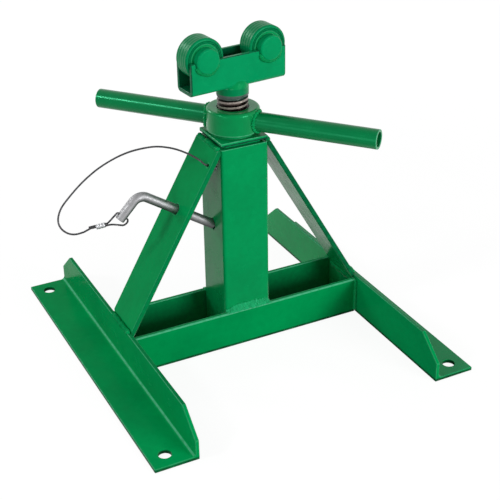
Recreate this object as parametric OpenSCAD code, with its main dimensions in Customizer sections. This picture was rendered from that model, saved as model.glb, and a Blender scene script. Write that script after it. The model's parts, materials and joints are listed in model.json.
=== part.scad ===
// Screw jack for one end of a cable drum's spindle.
// The stand is welded from tube, angle and flat bar. An inner tube telescopes in the post, and a nut on
// top of it winds a screw that carries two rollers. Millimetres, +Z up, origin on the floor under the post.

/* [Feet] */
// Length of each angle-iron foot
foot_len = 456; // [400:1:520]
// Width of each leg of the angle
foot_leg = 55; // [48:0.5:65]
// Thickness of the angle
foot_t = 5; // [4:0.1:7]
// Distance between the upright legs, inside to inside
foot_gap = 320; // [280:1:380]
// Fillet in the root of the angle
foot_root_r = 5; // [2:0.5:8]
// Length of the slanted cut at each end of the upright leg
foot_cut_len = 34; // [20:1:50]
// Height that the slanted cut leaves at the end of the foot
foot_cut_z = 26; // [16:1:36]
// Diameter of the anchor bolt holes
bolt_d = 16; // [10:0.5:20]
// Distance of a bolt hole from the end of its foot
bolt_end = 21; // [16:0.5:40]
// Distance of a bolt hole from the inner face of its foot
bolt_in = 34; // [26:0.5:38]

/* [Crossbars and braces] */
// Height of the flat crossbars
bar_h = 51; // [40:0.5:60]
// Thickness of the crossbars
bar_t = 6.35; // [5:0.05:9]
// Thickness of the slanted braces
brace_t = 6.35; // [5:0.05:8]
// Distance from the top of the post down to the underside of a brace
brace_drop = 6; // [2:0.5:12]
// Distance from the top of a foot down to the underside of a brace
brace_seat = 8.5; // [7:0.5:14]

/* [Post] */
// Height of the outer post above the floor
post_h = 275; // [250:1:320]
// Wall of the outer post
post_wall = 4.75; // [3.5:0.05:6]
// Outer corner radius of both square tubes
tube_r = 4; // [1:0.5:6]
// Gap between the inner post and the outer post on each side
slide_room = 1.6; // [0.5:0.05:2.5]
// Wall of the inner post
inner_wall = 4.75; // [3.5:0.05:6]
// Thickness of the base plate that the inner post stands on
base_t = 6.35; // [4:0.05:10]
// Gap around the base plate inside the outer post
base_room = 0.2; // [0.1:0.05:0.5]
// Gap between the top of the post and the cap plate
cap_gap = 3.6; // [2:0.1:8]
// Thickness of the cap plate
cap_t = 4.75; // [3:0.05:8]
// How far the cap plate lies inside the faces of the outer post
cap_inset = 0.4; // [0:0.1:3]

/* [Nut and handles] */
// Diameter of the nut
nut_d = 66; // [58:0.5:80]
// Height of the nut
nut_h = 29; // [27:0.5:40]
// Rounding of the nut's top edge
nut_edge = 4; // [1:0.5:6]
// Outer diameter of the thrust washer
washer_d = 54; // [48:0.5:58]
// Thickness of the thrust washer
washer_t = 4.2; // [3:0.1:6]
// Diameter of the handle pipes
handle_d = 24; // [18:0.5:26]
// Wall of the handle pipes
handle_wall = 3; // [2:0.1:5]
// Distance from the screw's axis to the end of a handle
handle_reach = 185; // [140:1:230]
// Height of the handles' axis above the underside of the nut
handle_up = 13; // [12.5:0.5:16]
// Direction of the right handle, turned from +X
handle_turn = -50; // [-90:1:90]

/* [Screw] */
// Outside diameter of the thread
screw_d = 38.1; // [34:0.1:42]
// Rise of the thread for one turn
thread_pitch = 6.35; // [5:0.05:8]
// Depth of the thread
thread_depth = 3.2; // [2:0.1:4]
// Gap between the screw and the inner post on each side
screw_room = 1.6; // [1:0.05:3]
// Gap around the screw in the cap plate and the thrust washer
cap_room = 1; // [0.5:0.1:1.5]
// Share of the pitch that is the flat crest of the thread
crest_share = 0.37; // [0.2:0.01:0.45]
// Share of the pitch that is one sloping flank of the thread
flank_share = 0.13; // [0.05:0.01:0.2]
// Running gap between the thread and the nut
thread_fit = 0.05; // [0.02:0.01:0.1]
// Length of the screw below the boss
screw_len = 140; // [120:1:150]
// Length of thread that shows between the nut and the boss
screw_show = 15; // [14:0.5:40]
// Diameter of the turned ends of the screw
spigot_d = 22; // [16:0.5:26]
// Height of the square stop on the lower end of the screw
stop_h = 12; // [10:0.5:20]
// Gap between the corners of the stop and the inner post
stop_room = 0.35; // [0.2:0.05:0.8]
// Diameter of the cross pin in the stop
stop_pin_d = 6; // [4:0.5:8]

/* [Head and rollers] */
// Turn of the head about the screw
head_yaw = 5.5; // [0:0.5:10]
// Diameter of the boss under the head
boss_d = 39.6; // [36:0.1:46]
// Height of the boss
boss_h = 13; // [8:0.5:20]
// Length of the channel
head_len = 130; // [115:1:150]
// Height of the channel's sides
head_h = 40.5; // [36:0.5:50]
// Thickness of the channel's walls
head_t = 5; // [4:0.05:8]
// Outside bend radius of the channel
head_bend = 6; // [2:0.5:8]
// Distance from an axle's centre to its end of the channel
axle_end = 21.7; // [19:0.1:25]
// Diameter of the axles
axle_d = 30.5; // [24:0.5:32]
// Height of an axle's centre above the channel's top edge
axle_up = 0.8; // [0:0.1:4]
// How far an axle stands out of each side of the channel
axle_out = 4; // [0.5:0.1:5]
// Outside diameter of the rollers
roller_d = 50.8; // [46:0.2:58]
// Width of the rollers
roller_w = 24.2; // [23:0.2:30]
// Gap between a roller and each side of the channel
roller_play = 0.4; // [0.2:0.1:1]
// Wall of the roller bushes
bush_t = 3; // [2:0.1:5]
// Running gap between a bush and its axle
bush_fit = 0.05; // [0.02:0.01:0.1]

/* [Lock pin and lanyard] */
// Diameter of the lock pin
pin_d = 12; // [8:0.1:12.5]
// Gap around the lock pin in its holes
pin_room = 0.4; // [0.2:0.05:0.8]
// Height at which the pin's axis meets the post
pin_z = 163.8; // [150:0.2:172]
// How far the pin leans from square to the brace
pin_lean = 3.4; // [0:0.1:6]
// How far the pin's tip stands in the post's wall
pin_in = 2; // [0.5:0.1:2.5]
// Length of the taper at the pin's tip
pin_taper = 1.5; // [0.5:0.1:3]
// Distance along the pin from the post to the corner of its bend
pin_reach = 114.7; // [100:0.1:130]
// Length of the bent leg from the corner of the bend
pin_leg = 38.8; // [32:0.2:50]
// Angle of the bend
pin_bend = 79.5; // [60:0.5:90]
// Radius of the bend on the pin's centre line
pin_bend_r = 14; // [10:0.5:18]
// Distance of the lanyard hole from the end of the leg
eye_end = 6; // [5:0.5:10]
// Spacing of the pin holes up the inner post
hole_pitch = 38.1; // [25:0.1:40]
// Number of pin holes in the inner post
hole_count = 4; // [2:1:4]
// Diameter of the wire rope
wire_d = 2.4; // [1.6:0.1:2.8]
// Diameter of the holes that the wire rope goes through
wire_hole_d = 3.6; // [3:0.1:4.5]
// Distance of the lanyard hole down the brace
anchor_down = 21.5; // [18:0.5:30]
// Distance of the lanyard hole from the middle of the brace
anchor_side = 23; // [15:0.5:26]
// Diameter of the crimped stop behind the brace
crimp_d = 6.4; // [5:0.1:8]
// Length of the crimped stop behind the brace
crimp_len = 6; // [4:0.5:7]
// Diameter of the ferrule at the lanyard's eye
ferrule_d = 6.4; // [6:0.1:8]
// Length of the ferrule
ferrule_len = 11; // [8:0.5:16]

/* [Hidden] */

$fn = 64;
green = [0, 0.55, 0.31];
zinc = [0.75, 0.76, 0.78];
bare_steel = [0.55, 0.5, 0.47];
bronze = [0.7, 0.52, 0.3];
wire_grey = [0.28, 0.29, 0.31];
aluminium = [0.82, 0.83, 0.85];
// How far a cutting shape runs past the face that it cuts
past = 1;
// The pin's leg is drawn this much thinner and starts this far inside the bend, so that they are one piece
leg_thin = 0.1;
leg_root = 1;

// Square tubes, sized from the screw outwards
inner_bore = screw_d + 2 * screw_room;
inner_w = inner_bore + 2 * inner_wall;
post_bore = inner_w + 2 * slide_room;
post_w = post_bore + 2 * post_wall;

// Heights of what stands on the post
cap_z = post_h + cap_gap;
washer_z = cap_z + cap_t;
nut_z = washer_z + washer_t;
nut_top = nut_z + nut_h;
boss_z = nut_top + screw_show;
head_z = boss_z + boss_h;
axle_z = head_z + head_h + axle_up;
screw_end = boss_z - screw_len;

// Head, sized from the rollers outwards
head_w = roller_w + 2 * roller_play + 2 * head_t;
axle_gap = head_len - 2 * axle_end;
roller_bore = axle_d + 2 * bush_fit + 2 * bush_t;
cap_hole_d = screw_d + 2 * cap_room;
pin_hole_d = pin_d + 2 * pin_room;
// Widest square that still clears the inner post with the head turned
stop_w = (inner_bore - 2 * stop_room) / (cos(head_yaw) + sin(head_yaw));

// Slope of the braces, and of the pin that goes through one of them
brace_top_z = post_h - brace_drop;
brace_low_z = foot_leg - brace_seat;
brace_run = (foot_gap - post_w) / 2;
brace_angle = atan((brace_top_z - brace_low_z) / brace_run);
brace_rise = brace_t / cos(brace_angle);
brace_turn = 180 - brace_angle;
pin_turn = brace_turn + pin_lean;
bend_tangent = pin_bend_r * tan(pin_bend / 2);

// Lanyard hole on the outer face of the left brace
anchor_x = -post_w / 2 + (brace_drop - brace_rise) / tan(brace_angle) - anchor_down * cos(brace_angle);
anchor_z = post_h - anchor_down * sin(brace_angle);
anchor_dir = [-sin(brace_angle), 0, cos(brace_angle)];
anchor = [anchor_x, -anchor_side, anchor_z];
anchor_lead = 4;

// The pin's bend, and the cross hole in its leg
pin_dir = [sin(pin_turn), 0, cos(pin_turn)];
bend_corner = [-post_w / 2, 0, pin_z] - pin_reach * pin_dir;
leg_angle = 270 - pin_turn + pin_bend;
leg_dir = [cos(leg_angle), 0, sin(leg_angle)];
hole_dir = [-leg_dir[2], 0, leg_dir[0]];
eye_hole = bend_corner + (pin_leg - eye_end) * leg_dir;

// The ferrule hangs beside the pin's leg, and both strands of the eye come out of it
ferrule_dir = unit([4, -1.6, 1]);
ferrule_b = eye_hole + [-21, 5, -9];
ferrule_a = ferrule_b - ferrule_len * ferrule_dir;
strand_gap = 3;
strand_side = strand_gap / 2 * cross(ferrule_dir, unit([-ferrule_dir[1], ferrule_dir[0], 0]));
strand_lead = 4;

// Loop of the lanyard, as offsets from the straight line between the brace and the ferrule
loop = [
    [-2.5, 4, 12.5], [-5, 12, 22.5], [-10, 21.5, 30.5], [-18, 29.5, 36], [-27, 35.5, 37.5], [-36, 39.5, 37],
    [-46, 43, 33], [-57, 45, 26], [-68, 45, 16], [-77.5, 43, 4.5], [-80.5, 40.5, -3.5],
    [-78.5, 34.5, -10.5], [-70.5, 27.5, -15], [-57.5, 19.5, -17], [-41.5, 13, -15.5], [-23.5, 7, -9.5]
];
lanyard_points = concat(
    [anchor - brace_t * anchor_dir, anchor, anchor + anchor_lead * anchor_dir],
    [
        for (i = [0 : len(loop) - 1]) let (share = (i + 1) / (len(loop) + 1))
            (1 - share) * anchor + share * ferrule_a + loop[i]
    ],
    [for (lead = [2 : -1 : 0]) ferrule_a - lead * strand_lead * ferrule_dir]
);

// The eye goes through the hole in the pin's leg and back around the end of the leg.
// Its points are shares of eye_r along the hole and down the leg, and a shift along Y.
eye_r = pin_d / 2 + wire_d + 2;
hole_lead = pin_d / 2 + wire_d / 2 + 0.5;
function by_eye(along, down, y = 0) =
    eye_hole + eye_r * (along * hole_dir + down * leg_dir) + [0, y, 0];
eye_points = [
    ferrule_b + strand_side, ferrule_b + strand_side + strand_lead * ferrule_dir,
    by_eye(-0.82, 0.55, 1),
    eye_hole - hole_lead * hole_dir, eye_hole, eye_hole + hole_lead * hole_dir,
    by_eye(1, 0.21), by_eye(1.02, 0.54), by_eye(0.83, 0.87), by_eye(0.44, 1.1, 0.6), by_eye(-0.19, 1.46, 2),
    ferrule_b - strand_side + strand_lead * ferrule_dir, ferrule_b - strand_side
];
route_steps = 3;
wire_sides = 8;
// Square to the plane that the lanyard's loop lies in, near enough to hold its rings upright
wire_up = [0.25, 0.83, -0.5];

// Points along a smooth curve through a route
function curve_point(a, b, c, d, t) =
    0.5 * (2 * b + (c - a) * t + (2 * a - 5 * b + 4 * c - d) * t * t + (3 * b - a - 3 * c + d) * t * t * t);
function route_curve(p) = let (last = len(p) - 1) concat(
    [
        for (i = [0 : last - 1], k = [0 : route_steps - 1])
            curve_point(
                i == 0 ? 2 * p[0] - p[1] : p[i - 1], p[i], p[i + 1],
                i + 2 > last ? 2 * p[last] - p[last - 1] : p[i + 2], k / route_steps
            )
    ],
    [p[last]]
);
function unit(v) = v / norm(v);
function heading(p, i) = unit(p[min(i + 1, len(p) - 1)] - p[max(i - 1, 0)]);

// Points of a square with round corners
function corner(x, y, r, start) =
    [for (a = [0 : 15 : 90]) [x + r * cos(start + a), y + r * sin(start + a)]];
function round_square(w, r) = let (c = w / 2 - r) concat(
    corner(c, c, r, 0), corner(-c, c, r, 90), corner(-c, -c, r, 180), corner(c, -c, r, 270)
);

// Wire rope swept along a route
module wire(points) {
    path = route_curve(points);
    rings = [
        for (i = [0 : len(path) - 1])
            let (along = heading(path, i), side = unit(cross(along, wire_up)), up = cross(side, along))
                for (k = [0 : wire_sides - 1]) let (turn = 360 * k / wire_sides)
                    path[i] + wire_d / 2 * (side * cos(turn) + up * sin(turn))
    ];
    last = (len(path) - 1) * wire_sides;
    walls = [
        for (i = [0 : len(path) - 2], k = [0 : wire_sides - 1])
            let (a = i * wire_sides + k, b = i * wire_sides + (k + 1) % wire_sides)
                for (tri = [[a, b, a + wire_sides], [b, b + wire_sides, a + wire_sides]]) tri
    ];
    ends = [
        [for (k = [wire_sides - 1 : -1 : 0]) k],
        [for (k = [0 : wire_sides - 1]) last + k]
    ];
    polyhedron(rings, concat(walls, ends));
}

module square_tube(w, bore, h) {
    linear_extrude(h) difference() {
        polygon(round_square(w, tube_r));
        square(bore, center = true);
    }
}

// Puts a child on the pin's axis, with its own +Z going into the post
module on_pin_axis(drop = 0) {
    translate([-post_w / 2, 0, pin_z - drop]) rotate([0, pin_turn, 0]) children();
}

// Puts a child on the lanyard hole's axis, with its own +Z going into the brace
module on_anchor_axis() {
    translate(anchor) rotate([0, brace_turn, 0]) children();
}

module pin_bore(length, drop = 0) {
    on_pin_axis(drop) translate([0, 0, -length]) cylinder(d = pin_hole_d, h = 2 * length);
}

// Angle iron with its upright leg towards the post
module foot() {
    r = foot_root_r;
    root = [for (a = [0 : 15 : 90]) [-foot_t - r + r * sin(a), foot_t + r - r * cos(a)]];
    difference() {
        translate([-foot_gap / 2, 0, 0]) rotate([90, 0, 0]) linear_extrude(foot_len, center = true)
            polygon(concat(
                [[0, 0], [0, foot_leg], [-foot_t, foot_leg]],
                [for (i = [len(root) - 1 : -1 : 0]) root[i]],
                [[-foot_leg, foot_t], [-foot_leg, 0]]
            ));
        for (end = [0, 1]) mirror([0, end, 0])
            translate([-foot_gap / 2 - foot_t - past, foot_len / 2, 0]) rotate([90, 0, 90])
                linear_extrude(foot_t + 2 * past)
                    polygon([
                        [-foot_cut_len, foot_leg], [0, foot_cut_z], [past, foot_cut_z],
                        [past, foot_leg + past], [-foot_cut_len, foot_leg + past]
                    ]);
        for (end = [-1, 1])
            translate([-foot_gap / 2 - bolt_in, end * (foot_len / 2 - bolt_end), -past])
                cylinder(d = bolt_d, h = foot_t + 2 * past);
    }
}

module left_foot() {
    color(green) foot();
}

module right_foot() {
    color(green) mirror([1, 0, 0]) foot();
}

// Flat bar on edge, welded to the face of the post and between the feet
module crossbar() {
    translate([-foot_gap / 2, -post_w / 2 - bar_t, 0]) cube([foot_gap, bar_t, bar_h]);
}

module front_crossbar() {
    color(green) crossbar();
}

module rear_crossbar() {
    color(green) mirror([0, 1, 0]) crossbar();
}

module outer_post() {
    color(green) difference() {
        square_tube(post_w, post_bore, post_h);
        intersection() {
            pin_bore(post_w / 2);
            translate([-post_w, -post_w / 2, 0]) cube([post_w, post_w, post_h]);
        }
    }
}

// Plate in the bottom of the post, which the inner post stands on
module base_plate() {
    w = post_bore - 2 * base_room;
    color(green) translate([-w / 2, -w / 2, 0]) cube([w, w, base_t]);
}

// Slanted flat bar from the foot to the top of the post
module brace() {
    foot_x = -foot_gap / 2;
    post_x = -post_w / 2;
    intersection() {
        rotate([90, 0, 0]) linear_extrude(post_w, center = true)
            polygon([
                [foot_x, brace_low_z], [post_x, brace_top_z],
                [post_x, brace_top_z + brace_rise], [foot_x, brace_low_z + brace_rise]
            ]);
        translate([foot_x, -post_w, 0]) cube([foot_gap, 2 * post_w, post_h]);
    }
}

module left_brace() {
    color(green) difference() {
        brace();
        pin_bore(pin_reach);
        on_anchor_axis() translate([0, 0, -brace_t]) cylinder(d = wire_hole_d, h = 3 * brace_t);
    }
}

module right_brace() {
    color(green) mirror([1, 0, 0]) brace();
}

// Crimp on the end of the wire rope behind the brace
module lanyard_stop() {
    color(aluminium) on_anchor_axis() translate([0, 0, brace_t]) cylinder(d = crimp_d, h = crimp_len);
}

module lanyard() {
    color(wire_grey) wire(lanyard_points);
}

module inner_post() {
    color(green) difference() {
        translate([0, 0, base_t]) square_tube(inner_w, inner_bore, cap_z - base_t);
        for (i = [0 : hole_count - 1]) intersection() {
            pin_bore(post_w / 2, i * hole_pitch);
            translate([-post_w, -post_w / 2, 0]) cube([post_w, post_w, post_h]);
        }
    }
}

module cap_plate() {
    w = post_w - 2 * cap_inset;
    color(green) difference() {
        translate([-w / 2, -w / 2, cap_z]) cube([w, w, cap_t]);
        translate([0, 0, cap_z - past]) cylinder(d = cap_hole_d, h = cap_t + 2 * past);
    }
}

module thrust_washer() {
    color(bronze) translate([0, 0, washer_z]) difference() {
        cylinder(d = washer_d, h = washer_t);
        translate([0, 0, -past]) cylinder(d = cap_hole_d, h = washer_t + 2 * past);
    }
}

// Round nut with a rounded top edge
module nut() {
    r = nut_d / 2;
    edge = [
        for (a = [0 : 15 : 90]) [r - nut_edge + nut_edge * cos(a), nut_h - nut_edge + nut_edge * sin(a)]
    ];
    bore_r = screw_d / 2 + thread_fit;
    color(green) translate([0, 0, nut_z]) rotate_extrude()
        polygon(concat([[bore_r, 0], [r, 0]], edge, [[bore_r, nut_h]]));
}

// Pipe coped onto the side of the nut
module handle() {
    color(green) translate([0, 0, nut_z + handle_up]) rotate([0, 0, handle_turn]) difference() {
        rotate([0, 90, 0]) difference() {
            cylinder(d = handle_d, h = handle_reach);
            translate([0, 0, -past]) cylinder(d = handle_d - 2 * handle_wall, h = handle_reach + 2 * past);
        }
        cylinder(d = nut_d, h = 2 * nut_h, center = true);
    }
}

module left_handle() {
    rotate([0, 0, 180]) handle();
}

module right_handle() {
    handle();
}

// Threaded bar with a turned spigot at each end. Rings stand for the thread.
module screw() {
    r = screw_d / 2;
    root_r = r - thread_depth;
    low = screw_end + stop_h;
    turns = floor((boss_z - low) / thread_pitch);
    crest_end = flank_share + crest_share;
    ring = [[root_r, 0], [r, flank_share], [r, crest_end], [root_r, crest_end + flank_share]];
    rings = [
        for (i = [0 : turns - 1], point = ring) [point[0], low + (i + point[1]) * thread_pitch]
    ];
    color(bare_steel) difference() {
        rotate_extrude() polygon(concat(
            [[0, screw_end], [spigot_d / 2, screw_end], [spigot_d / 2, low]],
            rings,
            [[root_r, boss_z], [spigot_d / 2, boss_z]],
            [[spigot_d / 2, head_z + head_t], [0, head_z + head_t]]
        ));
        stop_cross_hole();
    }
}

module stop_cross_hole() {
    rotate([0, 0, head_yaw]) translate([0, 0, screw_end + stop_h / 2]) rotate([0, 90, 0])
        cylinder(d = stop_pin_d, h = inner_w, center = true);
}

// Square collar that slides in the inner post and keeps the screw from turning
module screw_stop() {
    color(bare_steel) difference() {
        rotate([0, 0, head_yaw]) translate([-stop_w / 2, -stop_w / 2, screw_end])
            cube([stop_w, stop_w, stop_h]);
        translate([0, 0, screw_end - past]) cylinder(d = spigot_d, h = stop_h + 2 * past);
        stop_cross_hole();
    }
}

module stop_pin() {
    color(zinc) rotate([0, 0, head_yaw]) translate([0, 0, screw_end + stop_h / 2]) rotate([0, 90, 0])
        cylinder(d = stop_pin_d, h = stop_w, center = true);
}

module head_boss() {
    color(green) translate([0, 0, boss_z]) difference() {
        cylinder(d = boss_d, h = boss_h);
        translate([0, 0, -past]) cylinder(d = spigot_d, h = boss_h + 2 * past);
    }
}

// Channel bent from flat bar, with a round seat for each axle in its top edges
module head_channel() {
    half = head_w / 2;
    inside = half - head_t;
    c = head_bend;
    side = [for (a = [0 : 15 : 90]) [half - c + c * sin(a), c - c * cos(a)]];
    profile = concat(
        side, [[half, head_h], [inside, head_h], [inside, head_t], [-inside, head_t], [-inside, head_h]],
        [[-half, head_h]], [for (i = [len(side) - 1 : -1 : 0]) [-side[i][0], side[i][1]]]
    );
    color(green) difference() {
        rotate([0, 0, head_yaw]) translate([0, 0, head_z]) rotate([90, 0, 90])
            linear_extrude(head_len, center = true) polygon(profile);
        for (end = [-1, 1]) on_axle(end) cylinder(d = axle_d, h = 2 * head_w, center = true);
        translate([0, 0, head_z - past]) cylinder(d = spigot_d, h = head_t + 2 * past);
    }
}

// Puts a child on the left (-1) or right (1) axle, with its own Z along the axle
module on_axle(end) {
    rotate([0, 0, head_yaw]) translate([end * axle_gap / 2, 0, axle_z]) rotate([90, 0, 0]) children();
}

module axle(end) {
    color(green) on_axle(end) cylinder(d = axle_d, h = head_w + 2 * axle_out, center = true);
}

module left_axle() {
    axle(-1);
}

module right_axle() {
    axle(1);
}

module roller(end) {
    color(green) on_axle(end) difference() {
        cylinder(d = roller_d, h = roller_w, center = true);
        cylinder(d = roller_bore, h = roller_w + 2 * past, center = true);
    }
}

module left_roller() {
    roller(-1);
}

module right_roller() {
    roller(1);
}

module bush(end) {
    color(bronze) on_axle(end) difference() {
        cylinder(d = roller_bore, h = roller_w, center = true);
        cylinder(d = axle_d + 2 * bush_fit, h = roller_w + 2 * past, center = true);
    }
}

module left_bush() {
    bush(-1);
}

module right_bush() {
    bush(1);
}

// Bent pin with a tapered tip, and a cross hole in its leg for the lanyard's eye
module lock_pin() {
    bend_z = bend_tangent - pin_reach;
    leg_len = pin_leg - bend_tangent;
    color(zinc) on_pin_axis() {
        rotate([0, 0, 180]) {
            translate([0, 0, bend_z]) cylinder(d = pin_d, h = pin_in - pin_taper - bend_z);
            translate([0, 0, pin_in - pin_taper])
                cylinder(d1 = pin_d, d2 = pin_d - 2 * pin_taper, h = pin_taper);
        }
        translate([pin_bend_r, 0, bend_z]) rotate([90, 0, 0]) rotate([0, 0, 180]) {
            rotate_extrude(angle = pin_bend) translate([pin_bend_r, 0]) circle(d = pin_d);
            rotate([0, 0, pin_bend]) translate([pin_bend_r, 0, 0]) rotate([-90, 0, 0]) difference() {
                translate([0, 0, -leg_root]) cylinder(d = pin_d - 2 * leg_thin, h = leg_len + leg_root);
                translate([0, 0, leg_len - eye_end]) rotate([0, 90, 0])
                    cylinder(d = wire_hole_d, h = 2 * pin_d, center = true);
            }
        }
    }
}

module lanyard_eye() {
    color(wire_grey) wire(eye_points);
}

// Crimped sleeve that closes the eye
module lanyard_ferrule() {
    tilt = acos(ferrule_dir[2]);
    turn = atan2(ferrule_dir[1], ferrule_dir[0]);
    color(aluminium) translate(ferrule_a) rotate([0, tilt, turn])
        cylinder(d = ferrule_d, h = ferrule_len);
}

left_foot();
right_foot();
front_crossbar();
rear_crossbar();
outer_post();
base_plate();
left_brace();
right_brace();
lanyard_stop();
lanyard();
inner_post();
cap_plate();
thrust_washer();
nut();
left_handle();
right_handle();
screw();
screw_stop();
stop_pin();
head_boss();
head_channel();
left_axle();
right_axle();
left_roller();
left_bush();
right_roller();
right_bush();
lock_pin();
lanyard_eye();
lanyard_ferrule();
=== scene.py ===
import json
import math

import bmesh
import bpy
from mathutils import Matrix, Vector, noise
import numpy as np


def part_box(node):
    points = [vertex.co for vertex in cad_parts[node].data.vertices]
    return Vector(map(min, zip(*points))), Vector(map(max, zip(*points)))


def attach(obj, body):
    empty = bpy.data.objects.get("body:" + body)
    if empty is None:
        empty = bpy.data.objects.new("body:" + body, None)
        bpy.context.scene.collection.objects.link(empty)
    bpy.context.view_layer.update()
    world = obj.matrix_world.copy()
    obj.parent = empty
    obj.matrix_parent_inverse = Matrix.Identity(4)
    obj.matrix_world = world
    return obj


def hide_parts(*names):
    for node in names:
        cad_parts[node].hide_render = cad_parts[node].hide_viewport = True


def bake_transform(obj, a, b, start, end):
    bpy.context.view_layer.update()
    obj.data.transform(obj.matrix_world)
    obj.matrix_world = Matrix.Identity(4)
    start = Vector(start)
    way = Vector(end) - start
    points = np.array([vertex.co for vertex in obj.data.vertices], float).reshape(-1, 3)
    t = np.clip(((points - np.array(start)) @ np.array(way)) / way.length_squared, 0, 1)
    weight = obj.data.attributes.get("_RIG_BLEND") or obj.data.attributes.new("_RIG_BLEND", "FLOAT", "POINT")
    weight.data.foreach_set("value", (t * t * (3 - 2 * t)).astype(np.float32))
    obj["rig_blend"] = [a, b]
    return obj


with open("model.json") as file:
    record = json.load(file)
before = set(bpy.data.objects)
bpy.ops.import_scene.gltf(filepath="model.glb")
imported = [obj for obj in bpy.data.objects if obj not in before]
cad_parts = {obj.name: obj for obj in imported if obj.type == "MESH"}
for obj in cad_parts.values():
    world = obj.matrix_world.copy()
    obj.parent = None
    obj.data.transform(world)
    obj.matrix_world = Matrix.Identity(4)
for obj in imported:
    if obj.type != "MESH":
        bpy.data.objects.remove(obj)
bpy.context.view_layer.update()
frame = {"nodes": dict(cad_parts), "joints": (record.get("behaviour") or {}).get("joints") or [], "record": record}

# Feet: two lengths of hot-rolled angle iron with their toes outwards. The upright leg is sawn on a slant
# at both ends and a bolt hole is drilled through the flat leg near each end. The enamel that covers the
# whole stand was sprayed on after welding.
def add(tree, kind, inputs=None, **settings):
    made = tree.nodes.new(kind)
    for key, value in settings.items():
        setattr(made, key, value)
    for key, value in (inputs or {}).items():
        if isinstance(value, bpy.types.NodeSocket):
            tree.links.new(value, made.inputs[key])
        else:
            made.inputs[key].default_value = value
    return made


def new_group(name, sockets):
    group = bpy.data.node_groups.new(name, "ShaderNodeTree")
    for label, kind, way in sockets:
        group.interface.new_socket(label, in_out=way, socket_type="NodeSocket" + kind)
    return group


def spread(tree, value, low, high, to_low, to_high):
    return add(tree, "ShaderNodeMapRange", {
        "Value": value, "From Min": low, "From Max": high, "To Min": to_low, "To Max": to_high
    }).outputs["Result"]


def times(tree, first, second, clamp=False):
    return add(
        tree, "ShaderNodeMath", {0: first, 1: second}, operation="MULTIPLY", use_clamp=clamp
    ).outputs[0]


def mixed(tree, share, first, second, blend="MIX"):
    made = add(tree, "ShaderNodeMix", data_type="RGBA", blend_type=blend)
    for socket, value in ((0, share), (6, first), (7, second)):
        if isinstance(value, bpy.types.NodeSocket):
            tree.links.new(value, made.inputs[socket])
        else:
            made.inputs[socket].default_value = value
    return made.outputs[2]


def noise_at(tree, place, scale, detail=2.0, rough=0.5):
    return add(tree, "ShaderNodeTexNoise", {
        "Vector": place, "Scale": scale, "Detail": detail, "Roughness": rough
    }).outputs["Fac"]


# The rim mask is positive where an edge is painted pale, a painted highlight together with thin paint and real
# chips, and negative where it is painted dark, mostly as painted shade.
thin_paint_and_highlight, bare_chip = (0.08, 0.46, 0.24, 1), (0.1, 0.1, 0.09, 1)
rubbed_and_shaded_paint, low_dark_tone = (0.004, 0.055, 0.03, 1), (0.006, 0.03, 0.014, 1)
dark_full_below, dark_ends_at = 0.0036, 0.0046
film = new_group("enamel_film", [
    ("Colour", "Color", "INPUT"), ("Peel", "Float", "INPUT"), ("Dull", "Float", "INPUT"),
    ("Colour", "Color", "OUTPUT"), ("Roughness", "Float", "OUTPUT"), ("Normal", "Vector", "OUTPUT"),
])
given = add(film, "NodeGroupInput")
place = add(film, "ShaderNodeTexCoord").outputs["Object"]
rim = add(film, "ShaderNodeAttribute", attribute_name="rim").outputs["Fac"]
clouds = spread(film, noise_at(film, place, 14, 3), 0.3, 0.7, 0.9, 1.08)
mottle = spread(film, noise_at(film, place, 120, 4, 0.6), 0.3, 0.7, 0.95, 1.05)
shade = times(film, clouds, mottle)
tone = mixed(film, 1.0, given.outputs["Colour"], add(
    film, "ShaderNodeCombineColor", {"Red": shade, "Green": shade, "Blue": shade}
).outputs["Color"], "MULTIPLY")
# Pale paint on positive rims: thin paint and a painted highlight.
pale_rim = times(film, rim, spread(film, noise_at(film, place, 160, 3), 0.3, 0.65, 0.35, 0.85))
tone = mixed(film, pale_rim, tone, thin_paint_and_highlight)
chip = times(film, rim, spread(film, noise_at(film, place, 420, 5, 0.7), 0.72, 0.76, 0.0, 0.8))
tone = mixed(film, chip, tone, bare_chip)
# Dark paint on negative rims: mostly painted shade.
rubbed_and_shaded = times(film, rim, spread(film, noise_at(film, place, 160, 3), 0.3, 0.6, -0.6, -1.0), clamp=True)
tone = mixed(film, rubbed_and_shaded, tone, rubbed_and_shaded_paint)
# The colour is made darker within a few millimetres of the floor.
level = add(film, "ShaderNodeSeparateXYZ", {0: place}).outputs["Z"]
low_darkening = times(
    film, spread(film, level, dark_full_below, dark_ends_at, 0.85, 0.0),
    spread(film, noise_at(film, place, 70, 3), 0.3, 0.6, 0.6, 1.0)
)
tone = mixed(film, low_darkening, tone, low_dark_tone)
nibs = spread(film, add(film, "ShaderNodeTexVoronoi", {
    "Vector": place, "Scale": 90.0
}).outputs["Distance"], 0.03, 0.07, 1.0, 0.0)
peel = noise_at(film, place, 480, 2)
height = add(film, "ShaderNodeMath", {0: nibs, 1: 0.5, 2: peel}, operation="MULTIPLY_ADD").outputs[0]
bump = add(film, "ShaderNodeBump", {
    "Strength": given.outputs["Peel"], "Distance": 0.0003, "Height": height
})
satin = spread(film, noise_at(film, place, 55, 4), 0.3, 0.7, 0.16, 0.3)
add(film, "NodeGroupOutput", {
    "Colour": tone, "Normal": bump.outputs["Normal"],
    "Roughness": add(film, "ShaderNodeMath", {0: satin, 1: given.outputs["Dull"]}).outputs[0],
})


def coated(name, group, values):
    material = bpy.data.materials.new(name)
    material.use_nodes = True
    tree = material.node_tree
    shader = tree.nodes["Principled BSDF"]
    surface = add(tree, "ShaderNodeGroup", node_tree=group)
    for key, value in values.items():
        surface.inputs[key].default_value = value
    tree.links.new(surface.outputs["Colour"], shader.inputs["Base Color"])
    tree.links.new(surface.outputs["Roughness"], shader.inputs["Roughness"])
    tree.links.new(surface.outputs["Normal"], shader.inputs["Normal"])
    return material, shader


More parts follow.
